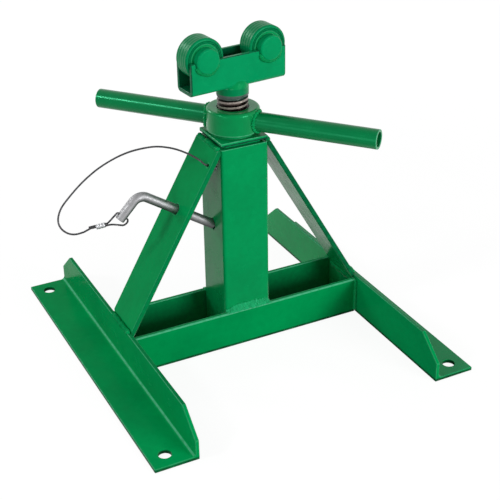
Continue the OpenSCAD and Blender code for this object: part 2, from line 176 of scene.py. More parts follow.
def enamel(name, colour, gloss=1.25, peel=0.12, dull=0.0):
    material, shader = coated(name, film, {"Colour": (*colour, 1), "Peel": peel, "Dull": dull})
    shader.inputs["IOR"].default_value = gloss
    shader.inputs["Specular Tint"].default_value = (0.1, 0.8, 0.42, 1)
    return material


def solid_of(node):
    bm = bmesh.new()
    bm.from_mesh(frame["nodes"][node].data)
    bmesh.ops.remove_doubles(bm, verts=bm.verts, dist=1e-5)
    bmesh.ops.dissolve_limit(bm, angle_limit=math.radians(1), verts=bm.verts, edges=bm.edges)
    return bm


def round_edges(bm, width, wear_and_painted_light=1.0, sharp=40, crisp=lambda edge: False):
    mask = bm.faces.layers.float.new("rim")
    edges = [
        e for e in bm.edges if e.is_manifold and e.calc_face_angle() > math.radians(sharp) and not crisp(e)
    ]
    made = bmesh.ops.bevel(
        bm, geom=edges, offset=width, offset_type="OFFSET", segments=3, profile=0.5,
        affect="EDGES", material=-1, clamp_overlap=False, loop_slide=False
    )
    # The rim value marks wear, painted highlight and painted shade on the new edge faces.
    for face in made["faces"]:
        face[mask] = wear_and_painted_light
    return bm


def split(bm, point, normal, **cut):
    return bmesh.ops.bisect_plane(
        bm, geom=bm.verts[:] + bm.edges[:] + bm.faces[:], dist=1e-7, plane_co=point, plane_no=normal, **cut
    )


def mesh_from(name, bm):
    mesh = bpy.data.meshes.new(name)
    bm.to_mesh(mesh)
    bm.free()
    return mesh


def put(name, bm, body, material, slot, *nodes, crease=38):
    mesh = mesh_from(name, bm)
    mesh.shade_smooth()
    mesh.set_sharp_from_angle(angle=math.radians(crease))
    mesh.materials.append(material)
    piece = bpy.data.objects.new(name, mesh)
    bpy.context.collection.objects.link(piece)
    piece.modifiers.new("face_normals", "WEIGHTED_NORMAL").keep_sharp = True
    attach(piece, body)
    if nodes:
        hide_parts(*nodes)
    return piece


def repaint(piece, material, covered):
    piece.data.materials.append(material)
    for face in piece.data.polygons:
        if covered(face):
            face.material_index = len(piece.data.materials) - 1


def drilled(edge):
    middle = (edge.verts[0].co + edge.verts[1].co) / 2
    return (Vector((abs(middle.x), abs(middle.y))) - bolt_at).length < bolt_r + 0.0005


bolts = next(m for m in frame["record"]["mounts"] if m["name"] == "anchor_bolts")["dims"]
bolt_at = Vector((bolts["spacing_x_mm"], bolts["spacing_y_mm"])) / 2000
bolt_r = bolts["hole_r_mm"] / 1000
facing = 0.9
foot_edge, foot_wear_and_highlight, root_highlight, leg_top_dark = 0.0011, 0.4, 1.3, -0.3
root_low, flat_high, leg_high = 0.004, 0.02, 0.05
green_flats = enamel("green_enamel_flats", (0.0, 0.285, 0.076), gloss=1.08)
feet = {}
for node in ("left_foot", "right_foot"):
    bm = round_edges(solid_of(node), foot_edge, foot_wear_and_highlight, crisp=drilled)
    split(bm, (0, 0, 0), (0, 1, 0))
    mask = bm.faces.layers.float["rim"]
    # The root fillet gets a painted highlight line, the edges a pale rim partly painted highlight, and the
    # upright's top face is painted darker.
    for face in bm.faces:
        slant, level = abs(face.normal.x), face.calc_center_median().z
        if 0.55 < slant < 0.85 and abs(face.normal.y) < 0.01 and level > root_low:
            face[mask] = root_highlight
        elif face.normal.z > facing and level > leg_high:
            face[mask] = leg_top_dark
    feet[node] = put(node + "_angle", bm, "frame", green_flats, "green_paint", node)
# A lighter copy of the enamel on the left foot's upward flat: painted light.
green_lit_flat = enamel("green_enamel_lit_flat", (0.0, 0.33, 0.09), gloss=1.08)
repaint(feet["left_foot"], green_lit_flat, lambda face: face.normal.z > facing and face.center.z < flat_high)
# Copies of the enamel for the right foot, set by how light falls on its faces: a glossier, slightly darker one
# upwards, a lighter one on the inner face behind the rear crossbar as painted light, and a less glossy one on the
# inner face in front.
green_top = enamel("green_enamel_top", (0.0, 0.27, 0.082), gloss=1.32)
green_rear_lit = enamel("green_enamel_rear_lit", (0.006, 0.36, 0.105), gloss=1.15)
green_near = enamel("green_enamel_near", (0.0, 0.28, 0.082), gloss=1.03)
repaint(feet["right_foot"], green_top, lambda face: face.normal.z > facing)
repaint(feet["right_foot"], green_rear_lit, lambda face: face.normal.x < -facing and face.center.y > 0)
repaint(feet["right_foot"], green_near, lambda face: face.normal.x < -facing and face.center.y <= 0)

# Crossbars: two lengths of flat steel bar on edge, in front of and behind the post. They are sawn square
# and welded between the feet and to the post. Their long edges are painted pale, a painted highlight with
# thin paint and chips, and the rear bar's front face is painted darker as painted shade.
bar_edge, bar_wear_and_highlight, rear_face_shade = 0.0018, 1.5, -0.4
for node in ("front_crossbar", "rear_crossbar"):
    bm = round_edges(solid_of(node), bar_edge, bar_wear_and_highlight)
    mask = bm.faces.layers.float["rim"]
    for face in bm.faces:
        if abs(face.normal.x) > 0.3:
            face[mask] = 0
        elif node == "rear_crossbar" and face.normal.y < -facing:
            face[mask] = rear_face_shade
    put(node + "_flat", bm, "frame", green_flats, "green_paint", node)

# Post: square structural tube, sawn square, with the lock pin's hole drilled on a slant through its left
# wall. A plate welded into its foot carries the inner tube.
tube_edge = 0.0007
green = enamel("green_enamel", (0.0, 0.285, 0.082))
for name, node in (("post_tube", "outer_post"), ("post_floor", "base_plate")):
    put(name, round_edges(solid_of(node), tube_edge), "frame", green, "green_paint", node)

# Braces: wide flat steel bar from the feet up to the top of the post, with the ends cut to fit and welded
# all round. The left one is drilled for the lock pin and for its wire.
brace_edge, brace_wear_and_highlight = 0.0019, 0.5
green_under = enamel("green_enamel_under", (0.0, 0.285, 0.08), gloss=1.13)
for node, front_face_shade in (("left_brace", -0.4), ("right_brace", -0.75)):
    bm = round_edges(solid_of(node), brace_edge, brace_wear_and_highlight)
    mask = bm.faces.layers.float["rim"]
    # The front edge faces are painted darker as painted shade, most on the right brace, in the right handle's
    # shadow.
    for face in bm.faces:
        if face.normal.y < -0.6:
            face[mask] = front_face_shade
    flat = put(node + "_flat", bm, "frame", green_flats, "green_paint", node)
    # A glossier copy of the enamel on the downward faces, so that they catch more reflected light.
    repaint(flat, green_under, lambda face: face.normal.z < -0.3)

# Weld beads of the frame: hand-laid runs of filler under the enamel, uneven in width and rippled. The run
# along the foot of the post is broad and stands on the top edges of the crossbars; its enamel is a paler
# copy, a painted highlight.
weld_green = enamel("green_enamel_on_weld", (0.002, 0.28, 0.082), gloss=1.2, peel=0.6)
weld_highlit = enamel("green_enamel_highlit_broad_weld", (0.014, 0.4, 0.15), gloss=1.35, peel=0.7)
ripple, weld_seed = 0.0021, 5
# The seed sets the offsets of noise_vector, so that each run lays the same beads.
noise.seed_set(weld_seed)


def hoop(bm, centre, ahead, radius, sides, capped):
    made = bmesh.ops.create_circle(
        bm, segments=sides, radius=radius, cap_ends=capped,
        matrix=Matrix.Translation(centre) @ ahead.to_track_quat("Z", "Y").to_matrix().to_4x4()
    )
    return list({edge for vert in made["verts"] for edge in vert.link_edges})


def bridge(bm, hoops, closed=False):
    for first, second in zip(hoops, hoops[1:] + hoops[:1] * closed):
        bmesh.ops.bridge_loops(bm, edges=first + second)
    bmesh.ops.recalc_face_normals(bm, faces=bm.faces)


def bead(bm, points, radius, closed, lumps, lap, sides=10, taper=4):
    line = [Vector(p) for p in points]
    run = [line[0]]
    for a, b in zip(line, line[1:] + line[:1] * closed):
        steps = max(1, round((b - a).length / (ripple / 3)))
        run += [a.lerp(b, (k + 1) / steps) for k in range(steps)]
    if closed:
        run.pop()
    count = len(run)
    hoops = []
    for i, point in enumerate(run):
        before = run[i - 1] if i or closed else run[0]
        after = run[(i + 1) % count] if i + 1 < count or closed else run[-1]
        wave = lumps * 0.1 * math.cos(2 * math.pi * i / lap + 1.5 * noise.noise(point * 90))
        size = radius * (1 + wave + lumps * 0.3 * noise.noise(point * 160))
        end = min(i, count - 1 - i)
        if not closed and end < taper:
            size *= math.sin(math.pi / 2 * (end + 0.6) / (taper + 0.6))
        drift = lumps * radius * 0.22 * noise.noise_vector(point * 110)
        capped = not closed and i in (0, count - 1)
        hoops.append(hoop(bm, point + drift, after - before, size, sides, capped))
    bridge(bm, hoops, closed)


def weld(name, body, runs, radius, closed=False, lumps=1.0, lap=3):
    bm = bmesh.new()
    for points in runs:
        bead(bm, points, radius, closed, lumps, lap)
    return put(name, bm, body, weld_green, "green_paint")


def outline(bm, points, closed=True):
    verts = [bm.verts.new(p) for p in points]
    return verts + [bm.edges.new(pair) for pair in zip(verts, verts[1:] + verts[:1] * closed)]


post, bar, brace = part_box("outer_post"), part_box("front_crossbar"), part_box("left_brace")
half, bar_top, bar_face, foot_face = post[1].x, bar[1].z, -bar[0].y, -bar[0].x
thick, run_half, steps = bar_face - half, half - 0.0005, 120
post_fillet = [
    (-0.12, -0.1), (0.95, -0.1), (1.04, -0.02), (0.98, 0.16), (0.8, 0.34), (0.6, 0.5), (0.42, 0.66),
    (0.26, 0.84), (0.1, 1.06), (-0.12, 1.1)
]
bm = bmesh.new()
for side in (-1, 1):
    section = [(-run_half, side * (half + out * thick), bar_top + up * thick) for out, up in post_fillet]
    bmesh.ops.spin(
        bm, geom=outline(bm, section), cent=(0, 0, 0), axis=(1, 0, 0), dvec=(2 * run_half / steps, 0, 0),
        angle=0, steps=steps, use_merge=False, use_duplicate=False
    )
bmesh.ops.holes_fill(bm, edges=bm.edges, sides=0)
for vert in bm.verts:
    swell = 0.9 + 0.4 * noise.noise((90 * vert.co.x, 40 * vert.co.y, 0))
    if vert.co.z > bar_top:
        fade = min(1, (run_half - abs(vert.co.x)) / 0.008 + 0.2)
        vert.co.z = bar_top + (vert.co.z - bar_top) * swell * fade
    lap = math.cos(2 * math.pi * vert.co.x / (2 * ripple) + 3 * noise.noise(vert.co * 120))
    vert.co += 0.0012 * noise.noise_vector(vert.co * 330) + Vector((0, -0.0003 * lap, 0.0004 * lap))
bmesh.ops.recalc_face_normals(bm, faces=bm.faces)
put("post_to_bars_weld", bm, "frame", weld_highlit, "green_paint")
weld("bars_to_feet_weld", "frame", [
    [(side * (foot_face - 0.001), end * (bar_face + 0.0008), z) for z in (0.003, bar_top)]
    for side in (-1, 1) for end in (-1, 1)
], 0.003)
weld("braces_to_post_weld", "frame", [
    [(side * (half + 0.002), y, brace[1].z + 0.0004) for y in (-half + 0.003, half - 0.003)]
    for side in (-1, 1)
], 0.0032)
weld("braces_to_feet_weld", "frame", [
    [(side * (foot_face + out), y, z) for y in (-half + 0.004, half - 0.004)]
    for side in (-1, 1) for out, z in ((0.0028, 0.0552), (-0.0006, 0.0456))
], 0.0034)

# Inner tube: slides in the post, with a row of holes for the lock pin on its left side. A square plate is
# welded on its top, and a bronze washer lies on the plate for the nut to turn on.
inner_edge, cap_edge, cap_under_shade, ring_edge = 0.0006, 0.0009, -1.1, 0.0005
bm = round_edges(solid_of("inner_post"), inner_edge)
put("inner_tube", bm, "inner_post", green, "green_paint", "inner_post")
bm = round_edges(solid_of("cap_plate"), cap_edge)
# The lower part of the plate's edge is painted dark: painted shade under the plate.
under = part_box("cap_plate")[0].z + 0.0022
split(bm, (0, 0, under), (0, 0, 1))
mask = bm.faces.layers.float["rim"]
for face in bm.faces:
    if face.calc_center_median().z < under:
        face[mask] = cap_under_shade
put("cap_square", bm, "inner_post", green, "green_paint", "cap_plate")

marks = new_group("metal_marks", [
    ("Colour", "Color", "INPUT"), ("Dark", "Color", "INPUT"), ("Stretch", "Vector", "INPUT"),
    ("Fine", "Float", "INPUT"), ("Dull", "Float", "INPUT"),
    ("Colour", "Color", "OUTPUT"), ("Roughness", "Float", "OUTPUT"), ("Normal", "Vector", "OUTPUT"),
])
given = add(marks, "NodeGroupInput")
place = add(marks, "ShaderNodeTexCoord").outputs["Object"]
drawn = add(marks, "ShaderNodeVectorMath", {
    0: place, 1: given.outputs["Stretch"]
}, operation="MULTIPLY").outputs[0]
grain = noise_at(marks, drawn, given.outputs["Fine"], 4, 0.6)
stain = spread(marks, noise_at(marks, place, 130, 5, 0.65), 0.42, 0.68, 0.0, 0.8)
tone = mixed(marks, stain, given.outputs["Colour"], given.outputs["Dark"])
tone = mixed(marks, spread(marks, grain, 0.35, 0.7, 0.0, 0.35), tone, given.outputs["Dark"])
bump = add(marks, "ShaderNodeBump", {"Strength": 0.25, "Distance": 0.0001, "Height": grain})
polish = spread(marks, noise_at(marks, drawn, 300, 3), 0.3, 0.7, 0.22, 0.45)
add(marks, "NodeGroupOutput", {
    "Colour": tone, "Normal": bump.outputs["Normal"],
    "Roughness": add(marks, "ShaderNodeMath", {0: polish, 1: given.outputs["Dull"]}).outputs[0],
})


def metal(name, colour, dark, fine=900.0, stretch=(1, 1, 1), dull=0.0, metallic=1.0):
    material, shader = coated(name, marks, {
        "Colour": (*colour, 1), "Dark": (*dark, 1), "Stretch": stretch, "Fine": fine, "Dull": dull
    })
    shader.inputs["Metallic"].default_value = metallic
    return material


bronze = metal("bronze", (0.52, 0.34, 0.15), (0.3, 0.18, 0.08))
bm = round_edges(solid_of("thrust_washer"), ring_edge)
ring = put("thrust_ring", bm, "inner_post", bronze, "bronze", "thrust_washer")
repaint(ring, green, lambda face: face.normal.dot(Vector((*face.center.xy, 0)).normalized()) > 0.3)

# Nut: a turned steel collar with a thread in its bore, which turns on the washer. Two steel pipes with open
# ends are welded to its sides as handles, with a lumpy bead round each.
nut_edge, grip_edge, around, clear, proud = 0.0019, 0.0007, 24, 0.0006, 0.0004
# Darker copies of the enamel on the nut and its handles: painted shade.
green_nut_shaded = enamel("green_enamel_nut_shaded", (0.0, 0.235, 0.06), gloss=1.5, peel=0.1, dull=-0.03)
put("nut_collar", round_edges(solid_of("nut"), nut_edge), "nut", green_nut_shaded, "green_paint", "nut")
green_grip_shaded = enamel("green_enamel_grip_shaded", (0.0, 0.183, 0.049), gloss=1.5, peel=0.04)
for node in ("left_handle", "right_handle"):
    bm = round_edges(solid_of(node), grip_edge)
    put(node + "_pipe", bm, "nut", green_grip_shaded, "green_paint", node)
joints = {j["name"]: j for j in frame["joints"]}
handle_z = joints["nut_turn"]["pos_m"][2]
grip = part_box("right_handle")
handle_dir = Vector((grip[1].x, grip[0].y, 0)).normalized()
handle_side = Vector((-handle_dir.y, handle_dir.x, 0))
pipe_r, nut_r = (grip[1].z - grip[0].z) / 2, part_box("nut")[1].x
joins = []
for end in (-1, 1):
    join = []
    for k in range(around):
        turn = 2 * math.pi * k / around
        across = (pipe_r + clear) * math.cos(turn)
        up = (pipe_r + clear) * math.sin(turn)
        out = math.sqrt(nut_r ** 2 - across ** 2) + proud
        join.append(end * out * handle_dir + across * handle_side + Vector((0, 0, handle_z + up)))
    joins.append(join)
weld("handles_to_nut_weld", "nut", joins, 0.0024, closed=True, lumps=2.2, lap=6)

# Screw: a turned steel bar with a right-hand trapezoidal thread, bare and oiled. Its top under the boss
# is painted dark as overspray and painted shade, and its thread roots are painted darker as painted shade.
# A square block on its lower end, held by a cross pin, keeps it from turning in the inner tube.
screw, boss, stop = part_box("screw"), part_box("head_boss"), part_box("screw_stop")
pitch, depth, flank, crest, phase, steps = 0.00635, 0.0032, 0.13, 0.37, -1.65, 48
crest_r, core_r, low, high = screw[1].x, 0.011, stop[1].z, boss[0].z
root_r, overspray_shade_from, root_shade_r = crest_r - depth, high - 0.0032, crest_r - 0.4 * depth
turns = math.ceil((high - low) / pitch) + 2
tooth = [
    (root_r, 0), (crest_r, flank), (crest_r, flank + crest), (root_r, 2 * flank + crest), (root_r, 1)
]
turned = (0.4, 0.4, 5.0)
oiled = metal("oiled_steel", (0.4, 0.34, 0.31), (0.12, 0.09, 0.075), 500.0, turned, metallic=0.4)
overspray_and_shade = metal("oversprayed_shaded_steel", (0.05, 0.09, 0.075), (0.02, 0.05, 0.035), 500.0, turned, metallic=0.2)
root_shade = metal("root_shade", (0.06, 0.045, 0.04), (0.03, 0.022, 0.02), 500.0, turned)
bm = bmesh.new()
section = [(r, 0, low + (share + phase) * pitch) for r, share in tooth]
bmesh.ops.spin(
    bm, geom=outline(bm, section, closed=False), cent=(0, 0, 0), axis=(0, 0, 1), dvec=(0, 0, pitch / steps),
    angle=2 * math.pi * turns, steps=steps * turns, use_merge=False, use_duplicate=False
)
bmesh.ops.remove_doubles(bm, verts=bm.verts, dist=1e-6)
for z, up in ((low, -1), (high, 1)):
    cut = split(bm, (0, 0, z), (0, 0, up), clear_outer=True)
    bmesh.ops.edgenet_fill(bm, edges=[e for e in cut["geom_cut"] if isinstance(e, bmesh.types.BMEdge)])
bmesh.ops.create_cone(
    bm, cap_ends=True, segments=48, radius1=core_r, radius2=core_r, depth=screw[1].z - screw[0].z,
    matrix=Matrix.Translation((0, 0, (screw[0].z + screw[1].z) / 2))
)
bmesh.ops.recalc_face_normals(bm, faces=bm.faces)
thread = put("screw_thread", bm, "screw", oiled, "bare_steel", "screw")
# Overspray and painted shade under the boss.
repaint(thread, overspray_and_shade, lambda face: face.center.z > overspray_shade_from)
# Painted shade in the thread's roots.
repaint(thread, root_shade, lambda face: face.center.z <= overspray_shade_from and face.center.xy.length < root_shade_r)
put("screw_square", round_edges(solid_of("screw_stop"), 0.0008), "screw", oiled, "bare_steel", "screw_stop")


# Mixes the base colour towards a dark colour on downward faces: painted shade.
def painted_shade_below(material, colour):
    tree = material.node_tree
    underside_shade = add(tree, "ShaderNodeAttribute", attribute_name="underside_shade").outputs["Fac"]
    plain = next(n for n in tree.nodes if n.type == "GROUP").outputs["Colour"]
    tree.links.new(
        mixed(tree, underside_shade, plain, (*colour, 1)), tree.nodes["Principled BSDF"].inputs["Base Color"]
    )


def mark_shade_below(bm, full):
    layer = bm.verts.layers.float.new("underside_shade")
    bm.normal_update()
    for vert in bm.verts:
        vert[layer] = min(1, max(0, -vert.normal.z / full))


zinc = metal("zinc_plate", (0.3, 0.302, 0.31), (0.21, 0.21, 0.217), 420.0, dull=0.18)
# The zinc is painted darker on downward faces: painted shade.
painted_shade_below(zinc, (0.085, 0.085, 0.088))
put("stop_cross_pin", round_edges(solid_of("stop_pin"), 0.0005), "screw", zinc, "zinc_plate", "stop_pin")

# Head: a short length of channel, open upwards, welded on a turned boss on top of the screw. The round
# axles lie in seats in its sides and are welded to them.
boss_edge, head_edge, head_edge_shade, axle_edge = 0.0009, 0.001, -0.9, 0.0024
boss_r, boss_top, neck = boss[1].x, boss[1].z, boss[0].z + 0.0036
head_half, head_t, axle_r, slack = 0.0175, 0.005, 0.01525, 0.0002
# A darker copy of the enamel on the boss and the rollers: painted shade.
green_turned_shaded = enamel("green_enamel_turned_shaded", (0.0, 0.21, 0.07), gloss=1.32, peel=0.05, dull=0.12)
bm = round_edges(solid_of("head_boss"), boss_edge)
split(bm, (0, 0, neck), (0, 0, 1))
collar = put("boss_collar", bm, "screw", green_turned_shaded, "green_paint", "head_boss")
# The boss's lower neck is painted dark: overspray and painted shade.
repaint(collar, overspray_and_shade, lambda face: face.center.z < neck)
green_head = enamel("green_enamel_head", (0.0, 0.29, 0.1), peel=0.14)
# The channel's edges are painted dark: painted shade.
bm = round_edges(solid_of("head_channel"), head_edge, head_edge_shade)
channel = put("channel_head", bm, "screw", green_head, "green_paint", "head_channel")
for node in ("left_axle", "right_axle"):
    bm = round_edges(solid_of(node), axle_edge, wear_and_painted_light=0.0)
    put(node + "_bar", bm, "screw", green_head, "green_paint", node)
roller_joint = {j["child"]: j for j in frame["joints"] if j["child"].endswith("_roller")}
axle_dir = Vector(roller_joint["left_roller"]["axis"])
along = Vector((axle_dir.y, -axle_dir.x, 0))
# A dark copy of the enamel on the faces inside the channel: painted shade.
channel_inside_shade = enamel("green_enamel_inside_shade", (0.0, 0.12, 0.045), peel=0.3)
repaint(channel, channel_inside_shade, lambda face: (
    abs(face.center.dot(axle_dir)) < head_half - head_t + slack
    and face.center.z - boss_top > head_t - slack
))
boss_fillet = [
    (0.9, -0.0012), (1.0, -0.0012), (1.0, 0.0012), (0.985, 0.0034), (0.95, 0.0056), (0.9, 0.0074),
    (0.84, 0.0084)
]
arc, steps = math.radians(92), 30
bm = bmesh.new()
for end in (-1, 1):
    first = Matrix.Rotation(-arc / 2, 3, "Z") @ (end * axle_dir)
    section = [first * boss_r * share + Vector((0, 0, boss_top + up)) for share, up in boss_fillet]
    bmesh.ops.spin(
        bm, geom=outline(bm, section), cent=(0, 0, 0), axis=(0, 0, 1), dvec=(0, 0, 0), angle=arc,
        steps=steps, use_merge=False, use_duplicate=False
    )
bmesh.ops.holes_fill(bm, edges=bm.edges, sides=0)
for vert in bm.verts:
    vert.co += 0.0005 * noise.noise_vector(vert.co * 160)
bmesh.ops.recalc_face_normals(bm, faces=bm.faces)
put("boss_to_head_weld", bm, "screw", weld_green, "green_paint")
weld("axles_to_head_weld", "screw", [
    [Vector(roller_joint[name]["pos_m"]) + end * axle_dir * (head_half + clear)
     + (axle_r + clear) * (along * math.cos(t) + Vector((0, 0, math.sin(t))))
     for t in [math.radians(a) for a in range(200, 341, 10)]]
    for name in roller_joint for end in (-1, 1)
], 0.0025, lumps=1.4)

# Rollers: turned steel tyres with shallow tool grooves round the tread and on the faces. They run on bronze
# bushes that are pressed into their bores, and turn freely on the axles.
inner, width, steps, bush_edge = 0.0183, 0.0242, 96, 0.0005
tread_cut, face_cut = 0.00032, 0.91
for name, joint in roller_joint.items():
    centre, axis = Vector(joint["pos_m"]), Vector(joint["axis"])
    low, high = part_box(name)
    outer = (high.z - low.z) / 2
    tread = [(-1, outer - 0.0024), (-0.97, outer - 0.0013), (-0.92, outer - 0.0005), (-0.86, outer)]
    for groove in (-0.62, -0.22):
        tread += [
            (groove - 0.17, outer), (groove - 0.07, outer - tread_cut), (groove + 0.07, outer - tread_cut),
            (groove + 0.17, outer)
        ]
    tread += [(-s, r) for s, r in reversed(tread)]
    side = [(-1, inner)]
    for groove in (inner + 0.0012, inner + 0.0029):
        side += [(-1, groove), (-face_cut, groove + 0.0005), (-1, groove + 0.001)]
    profile = side + tread + [(-s, r) for s, r in reversed(side)]
    section = [centre + axis * s * width / 2 + Vector((0, 0, r)) for s, r in profile]
    bm = bmesh.new()
    bmesh.ops.spin(
        bm, geom=outline(bm, section), cent=centre, axis=axis, dvec=(0, 0, 0), angle=2 * math.pi,
        steps=steps, use_merge=True, use_duplicate=False
    )
    bmesh.ops.remove_doubles(bm, verts=bm.verts, dist=1e-6)
    bmesh.ops.recalc_face_normals(bm, faces=bm.faces)
    put(name + "_tyre", bm, name, green_turned_shaded, "green_paint", name)
    bush = name.replace("roller", "bush")
    lining = put(bush + "_sleeve", round_edges(solid_of(bush), bush_edge), name, bronze, "bronze", bush)
    repaint(lining, green, lambda face: abs(face.normal.dot(axis)) > 0.3)

# Lock pin: a zinc-plated steel bar with a tapered nose, bent to a handle, with a cross hole for its wire.
# It slides through the left brace and the post's wall, and its underside is painted darker as painted shade.
pin_r, pin_bend, bend_r, pin_leg = 0.006, math.radians(79.5), 0.014, 0.0388
pin_z, pin_reach, pin_in, wire_hole_r, wire_hole_at = 0.1638, 0.1147, 0.002, 0.0018, 0.006
pin_out = Vector(joints["pin_slide"]["axis"])
entry = Vector((-half, 0, pin_z))
corner, nose = entry + pin_reach * pin_out, entry - pin_in * pin_out
leg_dir = Matrix.Rotation(-pin_bend, 3, "Y") @ pin_out
leg_end = corner + pin_leg * leg_dir
tangent = bend_r * math.tan(pin_bend / 2)
bend_in, bend_out = corner - tangent * pin_out, corner + tangent * leg_dir
bend_centre = bend_in + bend_r * Vector((-pin_out.z, 0, pin_out.x))
route = [(nose + on * pin_out, pin_out, size) for on, size in ((0.0, 0.75), (0.0015, 0.985), (0.0018, 1.0))]
route += [(nose.lerp(bend_in, k / 12), pin_out, 1.0) for k in range(1, 12)]
for k in range(25):
    turn = Matrix.Rotation(-pin_bend * k / 24, 3, "Y")
    route.append((bend_centre + turn @ (bend_in - bend_centre), turn @ pin_out, 1.0))
route += [(bend_out.lerp(leg_end, k / 8), leg_dir, 1.0) for k in range(1, 8)]
route += [
    (leg_end - back * leg_dir, leg_dir, size) for back, size in ((0.0007, 1.0), (0.0002, 0.97), (0.0, 0.9))
]
bm = bmesh.new()
bridge(bm, [
    hoop(bm, point, ahead, pin_r * size, 48, i in (0, len(route) - 1))
    for i, (point, ahead, size) in enumerate(route)
])
drill = bmesh.new()
across = Vector((leg_dir.z, 0, -leg_dir.x))
bmesh.ops.create_cone(
    drill, cap_ends=True, segments=24, radius1=wire_hole_r, radius2=wire_hole_r, depth=4 * pin_r,
    matrix=Matrix.Translation(leg_end - wire_hole_at * leg_dir)
    @ across.to_track_quat("Z", "Y").to_matrix().to_4x4()
)
blanks = []
for name, shape in (("pin_blank", bm), ("pin_drill", drill)):
    blanks.append(bpy.data.objects.new(name, mesh_from(name, shape)))
    bpy.context.collection.objects.link(blanks[-1])
cut = blanks[0].modifiers.new("cross_hole", "BOOLEAN")
cut.object, cut.operation, cut.solver = blanks[1], "DIFFERENCE", "EXACT"
bored = bpy.data.meshes.new_from_object(blanks[0].evaluated_get(bpy.context.evaluated_depsgraph_get()))
bm = bmesh.new()
bm.from_mesh(bored)
bpy.data.meshes.remove(bored)
for blank in blanks:
    bpy.data.meshes.remove(blank.data)
mark_shade_below(bm, 0.75)
put("lock_pin_bar", bm, "lock_pin", zinc, "zinc_plate", "lock_pin")

# Lanyard: thin wire rope of six strands on a core, held in a hole in the left brace by a crimped stop and
# closed in an eye through the pin's leg by an aluminium ferrule.
lanyard_route = [
    (-0.04086, -0.023, 0.2532), (-0.04636, -0.023, 0.25637), (-0.04982, -0.023, 0.25837),
    (-0.05679, -0.01712, 0.26507), (-0.06723, -0.00724, 0.27127), (-0.08016, 0.00414, 0.27547),
    (-0.09609, 0.01402, 0.27716), (-0.11303, 0.02191, 0.27486), (-0.12996, 0.02779, 0.27056),
    (-0.14789, 0.03317, 0.26276), (-0.16683, 0.03705, 0.25195), (-0.18576, 0.03893, 0.23815),
    (-0.20319, 0.03881, 0.22285), (-0.21413, 0.03819, 0.21105), (-0.22006, 0.03407, 0.20024),
    (-0.21999, 0.02895, 0.19194), (-0.21493, 0.02284, 0.18614), (-0.20686, 0.01822, 0.18384),
    (-0.1968, 0.0141, 0.18604), (-0.18846, 0.01187, 0.18992), (-0.18485, 0.01043, 0.19083),
    (-0.18123, 0.00898, 0.19173),
]
eye_route = [
    (-0.17159, 0.00513, 0.19568), (-0.16798, 0.00368, 0.19659), (-0.16039, 0.001, 0.205),
    (-0.15583, 0.0, 0.20856), (-0.15028, 0.0, 0.20322), (-0.14473, 0.0, 0.19788),
    (-0.14429, 0.0, 0.19444), (-0.14652, 0.0, 0.19182), (-0.15033, 0.0, 0.19071),
    (-0.15491, 0.0006, 0.1918), (-0.16223, 0.002, 0.19364), (-0.16735, 0.00343, 0.19366),
    (-0.17097, 0.00487, 0.19276),
]
rope_d, strand_r, strand_off, twist = 0.0024, 0.17, 0.33, 0.016
ferrule_r, stop_len, tail_len = 0.0032, 0.006, 0.0095
wire = metal("rope_wire", (0.1, 0.1, 0.105), (0.03, 0.03, 0.032), 1500.0)
crimp = metal("crimp_aluminium", (0.5, 0.51, 0.525), (0.3, 0.3, 0.315), 700.0)
# The aluminium is painted darker on downward faces: painted shade.
painted_shade_below(crimp, (0.12, 0.12, 0.125))


def smooth_route(points, steps):
    p = [Vector(q) for q in points]
    p = [2 * p[0] - p[1]] + p + [2 * p[-1] - p[-2]]
    line = []
    for a, b, c, d in zip(p, p[1:], p[2:], p[3:]):
        for k in range(steps):
            t = k / steps
            line.append(0.5 * (
                2 * b + (c - a) * t + (2 * a - 5 * b + 4 * c - d) * t ** 2
                + (3 * b - a - 3 * c + d) * t ** 3
            ))
    return line + [p[-2]]


def rope(name, line):
    curve = bpy.data.curves.new(name, "CURVE")
    curve.dimensions = "3D"
    curve.bevel_depth = rope_d * strand_r
    curve.bevel_resolution = 1
    curve.use_fill_caps = True
    aside = (line[1] - line[0]).orthogonal().normalized()
    frames, run = [], 0.0
    for i, point in enumerate(line):
        ahead = (line[min(i + 1, len(line) - 1)] - line[max(i - 1, 0)]).normalized()
        aside = (aside - aside.dot(ahead) * ahead).normalized()
        if i:
            run += (point - line[i - 1]).length
        frames.append((point, aside.copy(), ahead.cross(aside), 2 * math.pi * run / twist))
    for strand in range(7):
        spline = curve.splines.new("POLY")
        spline.points.add(len(line) - 1)
        for knot, (point, one, two, turn) in zip(spline.points, frames):
            angle = turn + strand * math.pi / 3
            off = rope_d * strand_off * (math.cos(angle) * one + math.sin(angle) * two)
            knot.co = (*(point + off if strand < 6 else point), 1)
    made = bpy.data.objects.new(name + "_strands", curve)
    mesh = bpy.data.meshes.new_from_object(made)
    bpy.data.objects.remove(made)
    bpy.data.curves.remove(curve)
    bm = bmesh.new()
    bm.from_mesh(mesh)
    bpy.data.meshes.remove(mesh)
    bmesh.ops.recalc_face_normals(bm, faces=bm.faces)
    return bm


def sleeve(name, start, end, body, node, presses, material):
    run = end - start
    profile = [(0.0, 0.5), (0.0, 0.86), (0.03, 0.97), (0.08, 1.0)]
    profile += [(0.08 + 0.84 * k / 24, 1.0) for k in range(1, 24)]
    profile += [(0.92, 1.0), (0.97, 0.97), (1.0, 0.86), (1.0, 0.5)]
    bm = bmesh.new()
    hoops = []
    for i, (share, size) in enumerate(profile):
        press = 0.14 * max(0.0, math.sin(math.pi * presses * share) ** 2 - 0.35) if 0.08 < share < 0.92 else 0
        capped = i in (0, len(profile) - 1)
        hoops.append(hoop(bm, start + run * share, run, ferrule_r * size * (1 - press), 28, capped))
    bridge(bm, hoops)
    mark_shade_below(bm, 1.0)
    return put(name, bm, body, material, "crimp_aluminium", node)


